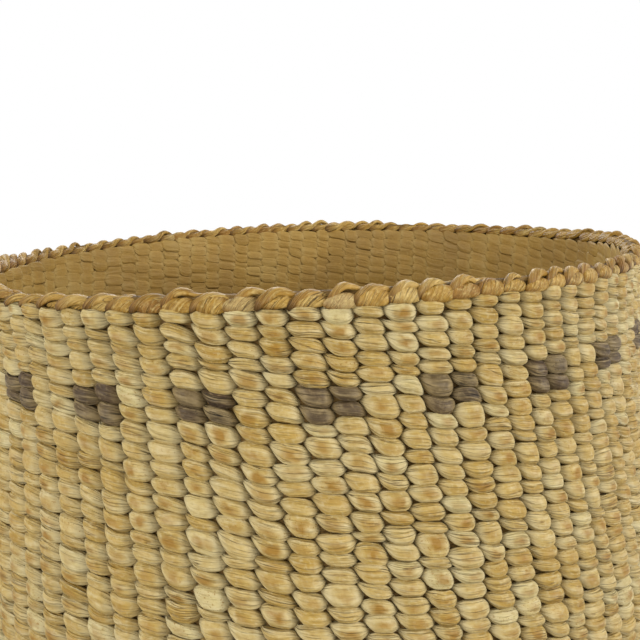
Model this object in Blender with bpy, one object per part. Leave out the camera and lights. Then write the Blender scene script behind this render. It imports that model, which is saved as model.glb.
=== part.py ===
"""A small twined bowl of plant fibre, open at the top, about 150 mm across and 97 mm high.

Twining holds a set of upright warps between two faces of weft: at each warp one weft strand
passes outside it while the other passes inside. The bowl is built the same way, in layers
that lie a small clearance apart:

  warps        one spoked frame, crossed at the centre of the base and running up to the rim
  outer weft   start, base, heel, belly, wall, pattern band and upper wall, outside the warps
  inner weft   base, heel, belly and wall, inside the warps
  dashes       strands of darker weft laid over the pattern band
  rim          the two strands that twist together along the top edge

Units are metres and +Z is up. The bowl stands on z = 0, centred on the Z axis, and its
photographed side looks towards -Y.
"""

import math

import bmesh
import bpy
from mathutils import Vector

# Plan and profile of the outer surface
RIM_RADIUS = 0.075
HEIGHT = 0.097
BELLY_RADIUS = 0.0815
BELLY_HEIGHT = 0.026
BASE_RADIUS = 0.056
RIM_FLARE = math.radians(5.1)

# Hand-made unevenness of the upper wall: an oval, slightly egg-shaped plan and a wavy rim
OVAL = 0.0031
OVAL_TURN = math.radians(97.0)
EGG = 0.00135
RIM_WAVE = 0.00097
RIM_WAVE_TURN = math.radians(11.6)
UNEVEN_ABOVE = 0.045

# Weave: one column of stitches on each warp, one dash of dark weft in each pattern repeat
PATTERN_REPEATS = 23
WARPS_PER_REPEAT = 4
FIRST_WARP_TURN = math.radians(-50.0)
WARP_LEAN = math.radians(5.8)
UPPER_ROWS = 5
UPPER_ROW_HEIGHT = 0.0023
PATTERN_ROWS = 2
PATTERN_ROW_HEIGHT = 0.00282

# Thickness of the layers, from the outside in
WEFT_THICKNESS = 0.0012
OVERLAY_THICKNESS = 0.0005
WARP_THICKNESS = 0.0016
CLEARANCE = 0.0003

# Warps on the base
WARP_WIDTH = 0.0020
START_WARP_WIDTH = 0.0008
START_RADIUS = 0.012
FORK_RADIUS = 0.042

# Rim strands
RIM_STRAND_WIDTH = 0.0024
RIM_STRAND_HEIGHT = 0.0030
RIM_STRAND_SIDES = 8

# How finely the curved surfaces are divided
HEEL_STEPS = 3
BELLY_STEPS = 3
WALL_STEPS = 3
SHARP_ANGLE = math.radians(40)

# Sizes that follow from the ones above
WARPS = PATTERN_REPEATS * WARPS_PER_REPEAT
WARPS_PER_FACET = WARPS_PER_REPEAT // 2
FACETS = WARPS // WARPS_PER_FACET
WARP_DEPTH = WEFT_THICKNESS + CLEARANCE
INNER_DEPTH = WARP_DEPTH + WARP_THICKNESS + CLEARANCE
WALL_THICKNESS = INNER_DEPTH + WEFT_THICKNESS
WALL_TOP = HEIGHT - RIM_STRAND_HEIGHT - CLEARANCE
PATTERN_TOP = WALL_TOP - UPPER_ROWS * UPPER_ROW_HEIGHT
PATTERN_BOTTOM = PATTERN_TOP - PATTERN_ROWS * PATTERN_ROW_HEIGHT


class Level:
    """One level of the outer profile: its radius, its height and its outward normal."""

    def __init__(self, radius, height, normal):
        self.radius = radius
        self.height = height
        self.normal = normal


def base_level(radius):
    return Level(radius, 0.0, (0.0, -1.0))


def turning_level(angle):
    """The heel and belly are a quarter ellipse from the flat base up to the widest place."""
    reach = BELLY_RADIUS - BASE_RADIUS
    radius = BASE_RADIUS + reach * math.sin(angle)
    height = BELLY_HEIGHT * (1 - math.cos(angle))
    across = BELLY_HEIGHT * math.sin(angle)
    down = -reach * math.cos(angle)
    size = math.hypot(across, down)
    return Level(radius, height, (across / size, down / size))


def wall_level(height):
    """The wall is one smooth cubic from the upright belly to the slightly flared rim."""
    run = HEIGHT - BELLY_HEIGHT
    t = (height - BELLY_HEIGHT) / run
    flare = math.tan(RIM_FLARE) * run
    radius = BELLY_RADIUS + (RIM_RADIUS - BELLY_RADIUS) * (3 * t**2 - 2 * t**3) + flare * (t**3 - t**2)
    slope = ((RIM_RADIUS - BELLY_RADIUS) * (6 * t - 6 * t**2) + flare * (3 * t**2 - 2 * t)) / run
    size = math.hypot(1.0, slope)
    return Level(radius, height, (1.0 / size, -slope / size))


def unevenness(height):
    """Nothing at the base, growing smoothly to its full amount at UNEVEN_ABOVE."""
    t = min(max(height / UNEVEN_ABOVE, 0.0), 1.0)
    return t * t * (3 - 2 * t)


def turn_of(warp, height):
    """The angle of a warp's edge; the warps lean to one side on their way down the wall."""
    lean = math.tan(WARP_LEAN) * (HEIGHT - height) / RIM_RADIUS
    return FIRST_WARP_TURN + warp * 2 * math.pi / WARPS + lean


def uncentred_point(warp, level, depth, lift=0.0):
    turn = turn_of(warp, level.height)
    amount = unevenness(level.height)
    plan = OVAL * math.cos(2 * (turn - OVAL_TURN)) + EGG * math.cos(3 * turn)
    radius = level.radius * (1 + amount * plan / RIM_RADIUS) - depth * level.normal[0]
    wave = amount * RIM_WAVE * math.cos(2 * (turn - RIM_WAVE_TURN))
    height = level.height + wave - depth * level.normal[1] + lift
    return Vector((radius * math.sin(turn), -radius * math.cos(turn), height))


def heel_levels():
    """The heel is the lower half of the turn, from the base edge up to 45 degrees."""
    return [turning_level(math.pi / 4 * step / HEEL_STEPS) for step in range(HEEL_STEPS + 1)]


def belly_levels():
    """The belly is the upper half of the turn, up to where the wall stands upright."""
    return [turning_level(math.pi / 4 * (1 + step / BELLY_STEPS)) for step in range(BELLY_STEPS + 1)]


def wall_levels():
    run = PATTERN_BOTTOM - BELLY_HEIGHT
    return [wall_level(BELLY_HEIGHT + run * step / WALL_STEPS) for step in range(WALL_STEPS + 1)]


def plan_centre():
    """The middle of the widest outline, which the Z axis passes through."""
    levels = heel_levels() + belly_levels() + wall_levels() + [wall_level(WALL_TOP)]
    points = [uncentred_point(facet * WARPS_PER_FACET, level, 0.0) for level in levels for facet in range(FACETS)]
    across = [point.x for point in points]
    along = [point.y for point in points]
    return Vector(((min(across) + max(across)) / 2, (min(along) + max(along)) / 2, 0.0))


CENTRE = plan_centre()


def corner(facet, level, depth, lift=0.0):
    """A corner of the faceted bowl, on an edge between two facets."""
    return uncentred_point((facet % FACETS) * WARPS_PER_FACET, level, depth, lift) - CENTRE


def on_facet(warp, level, depth):
    """A point on the flat facet that a warp lies on; warp may be fractional."""
    facet = math.floor(warp / WARPS_PER_FACET)
    share = warp / WARPS_PER_FACET - facet
    return corner(facet, level, depth).lerp(corner(facet + 1, level, depth), share)


def eased(level, towards, distance):
    """The level moved a distance along the profile towards another one."""
    gap = math.hypot(towards.radius - level.radius, towards.height - level.height)
    share = distance / gap
    radius = level.radius + (towards.radius - level.radius) * share
    height = level.height + (towards.height - level.height) * share
    across = level.normal[0] + (towards.normal[0] - level.normal[0]) * share
    up = level.normal[1] + (towards.normal[1] - level.normal[1]) * share
    size = math.hypot(across, up)
    return Level(radius, height, (across / size, up / size))


def between_clearances(levels, at_start=True, at_end=True):
    """The same run of levels, drawn in by half a clearance at the chosen ends."""
    run = list(levels)
    if at_start:
        run[0] = eased(levels[0], levels[1], CLEARANCE / 2)
    if at_end:
        run[-1] = eased(levels[-1], levels[-2], CLEARANCE / 2)
    return run


def material(name, hex_colour, roughness):
    found = bpy.data.materials.get(name)
    if found:
        return found
    made = bpy.data.materials.new(name)
    made.use_nodes = True
    shader = made.node_tree.nodes["Principled BSDF"]
    parts = [int(hex_colour[start:start + 2], 16) / 255 for start in (1, 3, 5)]
    linear = [part / 12.92 if part <= 0.04045 else ((part + 0.055) / 1.055) ** 2.4 for part in parts]
    shader.inputs["Base Color"].default_value = (*linear, 1.0)
    shader.inputs["Roughness"].default_value = roughness
    shader.inputs["Metallic"].default_value = 0.0
    return made


def finish(name, bm, surface, parent):
    """Turn a closed bmesh into a named, smooth-shaded object."""
    bmesh.ops.recalc_face_normals(bm, faces=bm.faces)
    mesh = bpy.data.meshes.new(name)
    bm.to_mesh(mesh)
    bm.free()
    mesh.shade_smooth()
    mesh.set_sharp_from_angle(angle=SHARP_ANGLE)
    mesh.materials.append(surface)
    made = bpy.data.objects.new(name, mesh)
    bpy.context.scene.collection.objects.link(made)
    made.parent = parent
    return made


def skin(bm, rows):
    """Quads between successive closed rows of vertices, and back from the last row to the first."""
    for row, following in zip(rows, rows[1:] + rows[:1]):
        for i in range(len(row)):
            j = (i + 1) % len(row)
            bm.faces.new((row[i], row[j], following[j], following[i]))


def band(name, levels, outer, inner, surface, parent):
    """A closed ring of weft that covers a run of levels between two depths."""
    bm = bmesh.new()
    outline = [(level, outer) for level in levels] + [(level, inner) for level in reversed(levels)]
    rows = [[bm.verts.new(corner(facet, level, depth)) for facet in range(FACETS)] for level, depth in outline]
    skin(bm, rows)
    return finish(name, bm, surface, parent)


def disc(name, level, outer, inner, surface, parent):
    """A closed flat disc of weft out to one level."""
    bm = bmesh.new()
    rows = [[bm.verts.new(corner(facet, level, depth)) for facet in range(FACETS)] for depth in (outer, inner)]
    for i in range(FACETS):
        j = (i + 1) % FACETS
        bm.faces.new((rows[0][i], rows[0][j], rows[1][j], rows[1][i]))
    bm.faces.new(rows[0])
    bm.faces.new(rows[1])
    return finish(name, bm, surface, parent)


def pattern_ground(name, levels, surface, parent):
    """The ring of weft under the dashes, with one shallow pocket for each dash."""
    bm = bmesh.new()
    pocket = OVERLAY_THICKNESS + CLEARANCE
    rows = []
    for level in levels:
        row = []
        for facet in range(0, FACETS, 2):
            # A pocket takes the first facet of each repeat and plain weft takes the second.
            outline = [(facet, pocket), (facet + 1, pocket), (facet + 1, 0.0), (facet + 2, 0.0)]
            row.append([bm.verts.new(corner(edge, level, depth)) for edge, depth in outline])
        back = [bm.verts.new(corner(facet, level, WEFT_THICKNESS)) for facet in range(FACETS)]
        rows.append((row, back))
    (low, low_back), (high, high_back) = rows
    repeats = len(low)
    for i in range(repeats):
        j = (i + 1) % repeats
        low_front = low[i] + [low[j][0]]
        high_front = high[i] + [high[j][0]]
        for k in range(len(low_front) - 1):
            bm.faces.new((low_front[k], low_front[k + 1], high_front[k + 1], high_front[k]))
        edges = (2 * i, 2 * i + 1, (2 * i + 2) % FACETS)
        for here, there in zip(edges, edges[1:]):
            bm.faces.new((low_back[there], low_back[here], high_back[here], high_back[there]))
        for front, back in ((low_front, low_back), (high_front, high_back)):
            bm.faces.new((front[0], front[1], back[edges[1]], back[edges[0]]))
            bm.faces.new((front[1], front[2], front[3], front[4], back[edges[2]], back[edges[1]]))
    return finish(name, bm, surface, parent)


def dash(name, repeat, levels, surface, parent):
    """One dash: dark weft laid over the first two warps of a repeat, inside its pocket."""
    bm = bmesh.new()
    first = repeat * WARPS_PER_REPEAT
    inset = CLEARANCE / (2 * math.pi * RIM_RADIUS / WARPS)
    edges = (first + inset, first + WARPS_PER_FACET - inset)
    outline = [(edges[0], 0.0), (edges[1], 0.0), (edges[1], OVERLAY_THICKNESS), (edges[0], OVERLAY_THICKNESS)]
    low, high = [[bm.verts.new(on_facet(warp, level, depth)) for warp, depth in outline] for level in levels]
    for i in range(4):
        j = (i + 1) % 4
        bm.faces.new((low[i], low[j], high[j], high[i]))
    bm.faces.new(low)
    bm.faces.new(high)
    return finish(name, bm, surface, parent)


def rim_strand(name, depth, surface, parent):
    """One strand of the rim: a closed cord of oval section along the top edge."""
    bm = bmesh.new()
    top = wall_level(HEIGHT)
    upright = Level(top.radius, top.height, (1.0, 0.0))
    rows = []
    for side in range(RIM_STRAND_SIDES):
        angle = 2 * math.pi * side / RIM_STRAND_SIDES
        inward = depth + RIM_STRAND_WIDTH / 2 * math.cos(angle)
        lift = -RIM_STRAND_HEIGHT / 2 + RIM_STRAND_HEIGHT / 2 * math.sin(angle)
        rows.append([bm.verts.new(corner(facet, upright, inward, lift)) for facet in range(FACETS)])
    skin(bm, rows)
    return finish(name, bm, surface, parent)


def warp_edges(pair, level):
    """The four edges of a pair of warps at a level, counted in warps from the first one."""
    middle = (pair + 1 / 2) * WARPS_PER_FACET
    facet_width = (corner(pair + 1, level, 0.0) - corner(pair, level, 0.0)).length
    pitch = facet_width / WARPS_PER_FACET
    if level.height == 0.0 and level.radius < FORK_RADIUS:
        # Below the fork a pair of warps is one narrower warp, a third of it on each strip.
        share = (level.radius - START_RADIUS) / (FORK_RADIUS - START_RADIUS)
        width = START_WARP_WIDTH + (WARP_WIDTH - START_WARP_WIDTH) * share
        return [middle + width / pitch * part for part in (-1 / 2, -1 / 6, 1 / 6, 1 / 2)]
    half = WARP_WIDTH / 2 / pitch
    return [middle + centre + side for centre in (-1 / 2, 1 / 2) for side in (-half, half)]


def warp_frame(name, levels, surface, parent):
    """All the warps as one spoked body. One warp of each pair starts at the crossing, and the other
    is laid in beside it at the fork, so that every column of stitches on the wall has its own."""
    bm = bmesh.new()
    faces = ("outer", "inner")
    depths = {"outer": WARP_DEPTH, "inner": WARP_DEPTH + WARP_THICKNESS}
    hub = {side: bm.verts.new(corner(0, base_level(0.0), depths[side])) for side in faces}
    fork = next(i for i, level in enumerate(levels) if level.radius >= FORK_RADIUS)
    grid = {}
    for pair in range(FACETS):
        for row, level in enumerate(levels):
            for side in faces:
                edges = warp_edges(pair, level)
                grid[pair, row, side] = [bm.verts.new(on_facet(edge, level, depths[side])) for edge in edges]

    def wall_between(pair, row, edge):
        here = [grid[pair, row, side][edge] for side in faces]
        there = [grid[pair, row + 1, side][edge] for side in faces]
        bm.faces.new((here[0], here[1], there[1], there[0]))

    for pair in range(FACETS):
        following = (pair + 1) % FACETS
        for side in faces:
            first = grid[pair, 0, side]
            # The crossing is a disc: a fan over each warp and over the space to the next one.
            for edge in range(3):
                bm.faces.new((hub[side], first[edge], first[edge + 1]))
            bm.faces.new((hub[side], first[3], grid[following, 0, side][0]))
        outer, inner = grid[pair, 0, "outer"][3], grid[pair, 0, "inner"][3]
        next_outer, next_inner = grid[following, 0, "outer"][0], grid[following, 0, "inner"][0]
        bm.faces.new((outer, inner, next_inner, next_outer))
        for row in range(len(levels) - 1):
            strips = (0, 1, 2) if row < fork else (0, 2)
            for side in faces:
                for strip in strips:
                    here = grid[pair, row, side]
                    there = grid[pair, row + 1, side]
                    bm.faces.new((here[strip], here[strip + 1], there[strip + 1], there[strip]))
            for edge in (0, 3) if row < fork else (0, 1, 2, 3):
                wall_between(pair, row, edge)
        at_fork = [grid[pair, fork, side] for side in faces]
        bm.faces.new((at_fork[0][1], at_fork[0][2], at_fork[1][2], at_fork[1][1]))
        at_top = [grid[pair, len(levels) - 1, side] for side in faces]
        for strip in (0, 2):
            bm.faces.new((at_top[0][strip], at_top[0][strip + 1], at_top[1][strip + 1], at_top[1][strip]))
    return finish(name, bm, surface, parent)


def build_bowl():
    for old in list(bpy.data.objects):
        bpy.data.objects.remove(old)
    bowl = bpy.data.objects.new("bowl", None)
    bpy.context.scene.collection.objects.link(bowl)

    straw = material("straw_weft", "#C2A062", 0.75)
    shade = material("inner_weft", "#9C7A3E", 0.8)
    dark = material("dark_weft", "#6E6150", 0.75)
    stem = material("warp_stem", "#A8834A", 0.8)
    edge = material("rim_strand", "#B5874C", 0.7)

    start = base_level(START_RADIUS)
    base_edge = base_level(BASE_RADIUS)
    heel = heel_levels()
    belly = belly_levels()
    wall = wall_levels()
    pattern = [wall_level(PATTERN_BOTTOM), wall_level(PATTERN_TOP)]
    upper = [wall_level(PATTERN_TOP), wall_level(WALL_TOP)]

    base_run = [start, base_level(FORK_RADIUS), base_edge]
    warp_run = base_run + heel[1:] + belly[1:] + wall[1:] + pattern[1:] + upper[1:]
    warp_frame("warps", warp_run, stem, bowl)

    start_edge = eased(start, base_level(0.0), CLEARANCE / 2)
    disc("start_outer_weft", start_edge, 0.0, WEFT_THICKNESS, straw, bowl)
    band("base_outer_weft", between_clearances(base_run), 0.0, WEFT_THICKNESS, straw, bowl)
    band("heel_outer_weft", between_clearances(heel), 0.0, WEFT_THICKNESS, straw, bowl)
    band("belly_outer_weft", between_clearances(belly), 0.0, WEFT_THICKNESS, straw, bowl)
    band("wall_outer_weft", between_clearances(wall), 0.0, WEFT_THICKNESS, straw, bowl)
    pattern_ground("pattern_ground_weft", between_clearances(pattern), straw, bowl)
    for repeat in range(PATTERN_REPEATS):
        dash(f"dash_{repeat + 1:02d}", repeat, between_clearances(pattern), dark, bowl)
    band("upper_outer_weft", between_clearances(upper, at_end=False), 0.0, WEFT_THICKNESS, straw, bowl)

    inner_edge = eased(base_edge, start, CLEARANCE / 2)
    disc("base_inner_weft", inner_edge, INNER_DEPTH, WALL_THICKNESS, shade, bowl)
    band("heel_inner_weft", between_clearances(heel), INNER_DEPTH, WALL_THICKNESS, shade, bowl)
    band("belly_inner_weft", between_clearances(belly), INNER_DEPTH, WALL_THICKNESS, shade, bowl)
    inner_wall = between_clearances(wall + pattern[1:] + upper[1:], at_end=False)
    band("wall_inner_weft", inner_wall, INNER_DEPTH, WALL_THICKNESS, shade, bowl)

    apart = (RIM_STRAND_WIDTH + CLEARANCE) / 2
    rim_strand("rim_outer_strand", WALL_THICKNESS / 2 - apart, edge, bowl)
    rim_strand("rim_inner_strand", WALL_THICKNESS / 2 + apart, edge, bowl)


build_bowl()
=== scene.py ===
# %% [markdown]
# # A twined bowl of plant fibre
#
# The bowl is woven, not moulded, so its look comes from thousands of small stitches. Every stitch is
# a short bundle of flattened leaf that bulges over one warp and dives back into the wall on both
# sides. A smooth bowl with a bumpy finish would be quicker, but its outline and its rim would stay
# smooth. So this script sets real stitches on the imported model's surface, binds the rim with two
# strands and gives each kind of fibre its own finish.

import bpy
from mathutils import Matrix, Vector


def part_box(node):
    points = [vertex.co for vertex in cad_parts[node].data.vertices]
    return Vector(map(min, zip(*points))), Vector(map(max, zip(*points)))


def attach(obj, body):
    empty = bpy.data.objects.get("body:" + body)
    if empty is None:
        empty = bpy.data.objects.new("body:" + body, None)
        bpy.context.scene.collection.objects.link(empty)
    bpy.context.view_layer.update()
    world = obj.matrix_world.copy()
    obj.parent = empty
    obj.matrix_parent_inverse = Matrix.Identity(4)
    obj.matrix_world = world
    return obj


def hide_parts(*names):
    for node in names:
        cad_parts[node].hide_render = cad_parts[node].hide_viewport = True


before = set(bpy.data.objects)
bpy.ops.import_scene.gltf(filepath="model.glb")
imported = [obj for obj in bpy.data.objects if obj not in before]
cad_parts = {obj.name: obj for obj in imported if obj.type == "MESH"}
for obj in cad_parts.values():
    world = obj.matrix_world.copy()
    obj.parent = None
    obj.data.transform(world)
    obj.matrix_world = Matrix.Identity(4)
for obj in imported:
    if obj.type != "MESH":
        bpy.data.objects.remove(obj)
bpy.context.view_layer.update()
print("nodes:", len(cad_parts))

# %% [markdown]
# ## The shape of the bowl
#
# The model's outer surface is a flat base, a quarter ellipse for the heel and belly, and one smooth
# cubic up to the rim. Stitches could be dropped onto the mesh one by one, but working out the same
# surface from the same real sizes places thousands of them at once. Lengths are in millimetres in
# this script and turn to metres at the last moment, because a weaver thinks of a stitch as 5 mm
# wide, not as 0.005.

# %% Sizes of the bowl
import math

import bpy
import numpy as np

MM = 0.001

RIM_RADIUS = 75.0
HEIGHT = 97.0
BELLY_RADIUS = 81.5
BELLY_HEIGHT = 26.0
BASE_RADIUS = 56.0
RIM_FLARE = math.radians(5.1)

# The bowl is a little oval and egg-shaped, and its rim waves up and down. The base is round, and the
# unevenness grows from there to its full amount at UNEVEN_BY_HEIGHT.
OVAL = 3.1
OVAL_TURN = math.radians(97.0)
EGG = 1.35
RIM_WAVE = 0.97
RIM_WAVE_TURN = math.radians(11.6)
UNEVEN_BY_HEIGHT = 45.0

WARPS = 92
WARPS_PER_REPEAT = 4
FIRST_WARP_TURN = math.radians(-50.0)
WARP_LEAN = math.radians(5.8)

WALL_THICKNESS = 4.6
RIM_DEPTH = 3.3
UPPER_ROWS = 5
UPPER_ROW_HEIGHT = 2.3
PATTERN_ROWS = 2
PATTERN_ROW_HEIGHT = 2.82

# The start is round and flat, so the middle of its box is the middle of the whole plan.
start_low, start_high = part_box("start_outer_weft")
CENTRE = [(start_low[axis] + start_high[axis]) / 2 / MM for axis in (0, 1)]
print("middle of the plan, mm:", [round(value, 2) for value in CENTRE])

# %% [markdown]
# ## A path down the wall
#
# Rows of stitches lie side by side along the wall, so a place on the bowl is best named by how far
# it is along the wall below the top row. That path runs down the wall, round the heel and in across
# the base to its centre. The profile is sampled finely once, and numpy then looks up the radius, the
# height and the outward direction of any place on it.

# %% Profile tables
ROOM_ABOVE_RIM = 4.0


def wall_profile(height):
    """The radius of the outer face above the belly, which flares again at the rim."""
    run = HEIGHT - BELLY_HEIGHT
    t = (height - BELLY_HEIGHT) / run
    flare = math.tan(RIM_FLARE) * run
    return BELLY_RADIUS + (RIM_RADIUS - BELLY_RADIUS) * (3 * t**2 - 2 * t**3) + flare * (t**3 - t**2)


wall_heights = np.linspace(HEIGHT + ROOM_ABOVE_RIM, BELLY_HEIGHT, 700)
turn_angles = np.linspace(math.pi / 2, 0.0, 500)[1:]
base_radii = np.linspace(BASE_RADIUS, 0.0, 400)[1:]
profile_radius = np.concatenate([
    wall_profile(wall_heights),
    BASE_RADIUS + (BELLY_RADIUS - BASE_RADIUS) * np.sin(turn_angles),
    base_radii,
])
profile_height = np.concatenate([
    wall_heights,
    BELLY_HEIGHT * (1 - np.cos(turn_angles)),
    np.zeros(len(base_radii)),
])
steps = np.hypot(np.diff(profile_radius), np.diff(profile_height))
profile_path = np.concatenate([[0.0], np.cumsum(steps)])
standing = len(wall_heights) + len(turn_angles)


def path_at_height(height):
    """The path at a height of the wall, heel or belly."""
    return float(np.interp(-height, -profile_height[:standing], profile_path[:standing]))


# The path is 0 at the upper edge of the top row.
profile_path -= path_at_height(HEIGHT - RIM_DEPTH)
slope_radius = np.gradient(profile_radius, profile_path)
slope_height = np.gradient(profile_height, profile_path)
print("length of the path, mm:", round(profile_path[-1], 1))

# %% Where the zones of the bowl meet
FORK_RADIUS = 42.0
START_RADIUS = 12.0


def path_at_base(radius):
    """The path at a radius of the flat base."""
    return float(profile_path[-1] - radius)


BELLY_PATH = path_at_height(BELLY_HEIGHT)
HEEL_PATH = path_at_height(BELLY_HEIGHT * (1 - math.cos(math.pi / 4)))
BASE_PATH = path_at_base(BASE_RADIUS)
FORK_PATH = path_at_base(FORK_RADIUS)
START_PATH = path_at_base(START_RADIUS)
zone_paths = (BELLY_PATH, HEEL_PATH, BASE_PATH, FORK_PATH, START_PATH)
print("path to belly, heel, base, fork and start, mm:", [round(path, 1) for path in zone_paths])


# %% A place on the bowl
def turn_at(warp):
    """The angle of a warp at the rim, from the middle of the near side, anticlockwise from above."""
    return FIRST_WARP_TURN + warp * 2 * math.pi / WARPS


def on_bowl(warp, path, depth):
    """World places in metres. warp counts round the bowl, path runs down from the top row, and depth
    goes into the wall from its outer face."""
    radius = np.interp(path, profile_path, profile_radius)
    height = np.interp(path, profile_path, profile_height)
    out_radius = -np.interp(path, profile_path, slope_height)
    out_height = np.interp(path, profile_path, slope_radius)
    turn = turn_at(warp) + math.tan(WARP_LEAN) * (HEIGHT - height) / RIM_RADIUS
    rise = np.clip(height / UNEVEN_BY_HEIGHT, 0.0, 1.0)
    amount = rise * rise * (3 - 2 * rise)
    plan = OVAL * np.cos(2 * (turn - OVAL_TURN)) + EGG * np.cos(3 * turn)
    radius = radius * (1 + amount * plan / RIM_RADIUS) - depth * out_radius
    height = height + amount * RIM_WAVE * np.cos(2 * (turn - RIM_WAVE_TURN)) - depth * out_height
    places = [CENTRE[0] + radius * np.sin(turn), CENTRE[1] - radius * np.cos(turn), height]
    return np.stack(places, axis=-1) * MM


print("warp pitch at the rim, mm:", round(2 * math.pi * RIM_RADIUS / WARPS, 2))

# %% [markdown]
# ## The camera
#
# The photograph was taken close up, a hand's breadth in front of the rim and just above it. A far
# camera with a long lens would be easier to aim. But a close camera makes the near wall large and
# the far rim small, and only the right distance gives both. Its place follows from the curve of the
# rim and from the spacing of the columns of stitches.

# %% Camera
from mathutils import Matrix, Vector

CAMERA_BACK = 178.8
CAMERA_ABOVE_RIM = 17.7
CAMERA_PITCH = math.radians(11.45)
CAMERA_YAW = math.radians(0.74)
CAMERA_ROLL = math.radians(-2.26)
LENS = 41.3

forward = Vector((
    math.sin(CAMERA_YAW) * math.cos(CAMERA_PITCH),
    math.cos(CAMERA_YAW) * math.cos(CAMERA_PITCH),
    -math.sin(CAMERA_PITCH),
))
level_right = forward.cross(Vector((0, 0, 1))).normalized()
level_up = level_right.cross(forward)
right = math.cos(CAMERA_ROLL) * level_right + math.sin(CAMERA_ROLL) * level_up
up = math.cos(CAMERA_ROLL) * level_up - math.sin(CAMERA_ROLL) * level_right
lens = bpy.data.cameras.new("camera")
lens.lens = LENS
lens.sensor_width = 36.0
lens.clip_start = 0.005
camera = bpy.data.objects.new("camera", lens)
bpy.context.scene.collection.objects.link(camera)
place = Vector((CENTRE[0], CENTRE[1] - CAMERA_BACK, HEIGHT + CAMERA_ABOVE_RIM)) * MM
camera.matrix_world = Matrix.Translation(place) @ Matrix((right, up, -forward)).transposed().to_4x4()
bpy.context.scene.camera = camera
print("camera at, mm:", [round(value / MM, 1) for value in place])

# %% [markdown]
# ## Colours and nodes
#
# Every finish is made of shader nodes. Colours could be typed in as the linear numbers that the
# renderer works with, but a hex colour can be compared with a swatch. So one helper turns hex
# colours into linear ones, and another adds a node of any kind, sets it and links it.


# %% Helpers for finishes
def linear(hex_colour):
    """The linear values of a colour that is written as sRGB hex."""
    parts = [int(hex_colour[start:start + 2], 16) / 255 for start in (1, 3, 5)]
    return [part / 12.92 if part <= 0.04045 else ((part + 0.055) / 1.055) ** 2.4 for part in parts] + [1.0]


def add(owner, kind, inputs=None, **settings):
    """Add a node to a material or a world. inputs are {input: an output to link, a hex colour or a
    value}, and the rest are the node's own settings."""
    node = owner.node_tree.nodes.new(kind)
    for name, value in settings.items():
        setattr(node, name, value)
    for name, value in (inputs or {}).items():
        if isinstance(value, bpy.types.NodeSocket):
            owner.node_tree.links.new(value, node.inputs[name])
        else:
            node.inputs[name].default_value = linear(value) if isinstance(value, str) else value
    return node


def new_finish(name):
    finish = bpy.data.materials.new(name)
    finish.use_nodes = True
    return finish, finish.node_tree.nodes["Principled BSDF"]


print("half-way grey on a swatch is this much light:", round(linear("#808080")[0], 3))

# %% [markdown]
# ## Light and floor
#
# The photograph has a plain white background and soft, even light with its brighter side at the
# upper left. A white world gives the even part, and two broad lamps in front give the gentle shading
# that makes each stitch read as round. A third does the same for the back. One strong lamp would cut
# hard shadows between the stitches, which the photograph doesn't have. The background is white only
# where the camera sees it, so it adds no light to the bowl.

# %% Even light
AMBIENT = 0.74

world = bpy.data.worlds.new("studio")
world.use_nodes = True
bpy.context.scene.world = world
sky = world.node_tree.nodes["Background"]
sky.inputs["Color"].default_value = linear("#FFFFFF")
sky.inputs["Strength"].default_value = AMBIENT
backdrop = add(world, "ShaderNodeBackground", {"Color": "#FFFFFF", "Strength": 1.0})
rays = add(world, "ShaderNodeLightPath").outputs
seen = rays["Is Camera Ray"]
for ray in ("Is Glossy Ray", "Is Transmission Ray"):
    seen = add(world, "ShaderNodeMath", {0: seen, 1: rays[ray]}, operation="MAXIMUM").outputs[0]
shown = add(world, "ShaderNodeMixShader", {0: seen, 1: sky.outputs[0], 2: backdrop.outputs[0]})
world.node_tree.links.new(shown.outputs[0], world.node_tree.nodes["World Output"].inputs["Surface"])
print("strength of the even light:", AMBIENT)

# %% Lamps
LAMP_AIM = Vector((0.0, 0.0, 0.06))


def soft_lamp(name, place, size, power, colour):
    """A round lamp that is aimed at the middle of the bowl."""
    light = bpy.data.lights.new(name, "AREA")
    light.shape = "DISK"
    light.size = size
    light.energy = power
    light.color = colour
    lamp = bpy.data.objects.new(name, light)
    bpy.context.scene.collection.objects.link(lamp)
    lamp.location = place
    lamp.rotation_euler = (LAMP_AIM - Vector(place)).to_track_quat("-Z", "Y").to_euler()
    print(name, "watts:", power)


soft_lamp("window_light", (-0.62, -0.62, 0.33), 0.5, 5.1, (1.0, 1.0, 0.985))
soft_lamp("fill_light", (0.80, -0.34, 0.31), 0.6, 6.4, (1.0, 1.0, 1.0))
soft_lamp("back_light", (-0.10, 0.90, 0.60), 0.6, 4.5, (1.0, 1.0, 1.0))

# %% Floor
# The paper is pale grey and keeps the bowl's shadow. It glows for the camera alone, up to white.
FLOOR_HALF = 0.5
PAPER_GLOW = 0.42

floor_mesh = bpy.data.meshes.new("floor")
floor_mesh.from_pydata([(-FLOOR_HALF, -FLOOR_HALF, 0), (FLOOR_HALF, -FLOOR_HALF, 0),
                        (FLOOR_HALF, FLOOR_HALF, 0), (-FLOOR_HALF, FLOOR_HALF, 0)], [], [(0, 1, 2, 3)])
floor = bpy.data.objects.new("floor", floor_mesh)
bpy.context.scene.collection.objects.link(floor)
paper, paper_shader = new_finish("white_paper")
paper_shader.inputs["Base Color"].default_value = linear("#C6C5C1")
paper_shader.inputs["Roughness"].default_value = 0.9
paper_shader.inputs["Emission Color"].default_value = linear("#FFFFFF")
paper_rays = add(paper, "ShaderNodeLightPath").outputs
glow = add(paper, "ShaderNodeMath", {0: paper_rays["Is Camera Ray"], 1: PAPER_GLOW}, operation="MULTIPLY")
paper.node_tree.links.new(glow.outputs[0], paper_shader.inputs["Emission Strength"])
floor_mesh.materials.append(paper)
bpy.context.scene.view_settings.view_transform = "Standard"
print("floor, m:", 2 * FLOOR_HALF)

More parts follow.
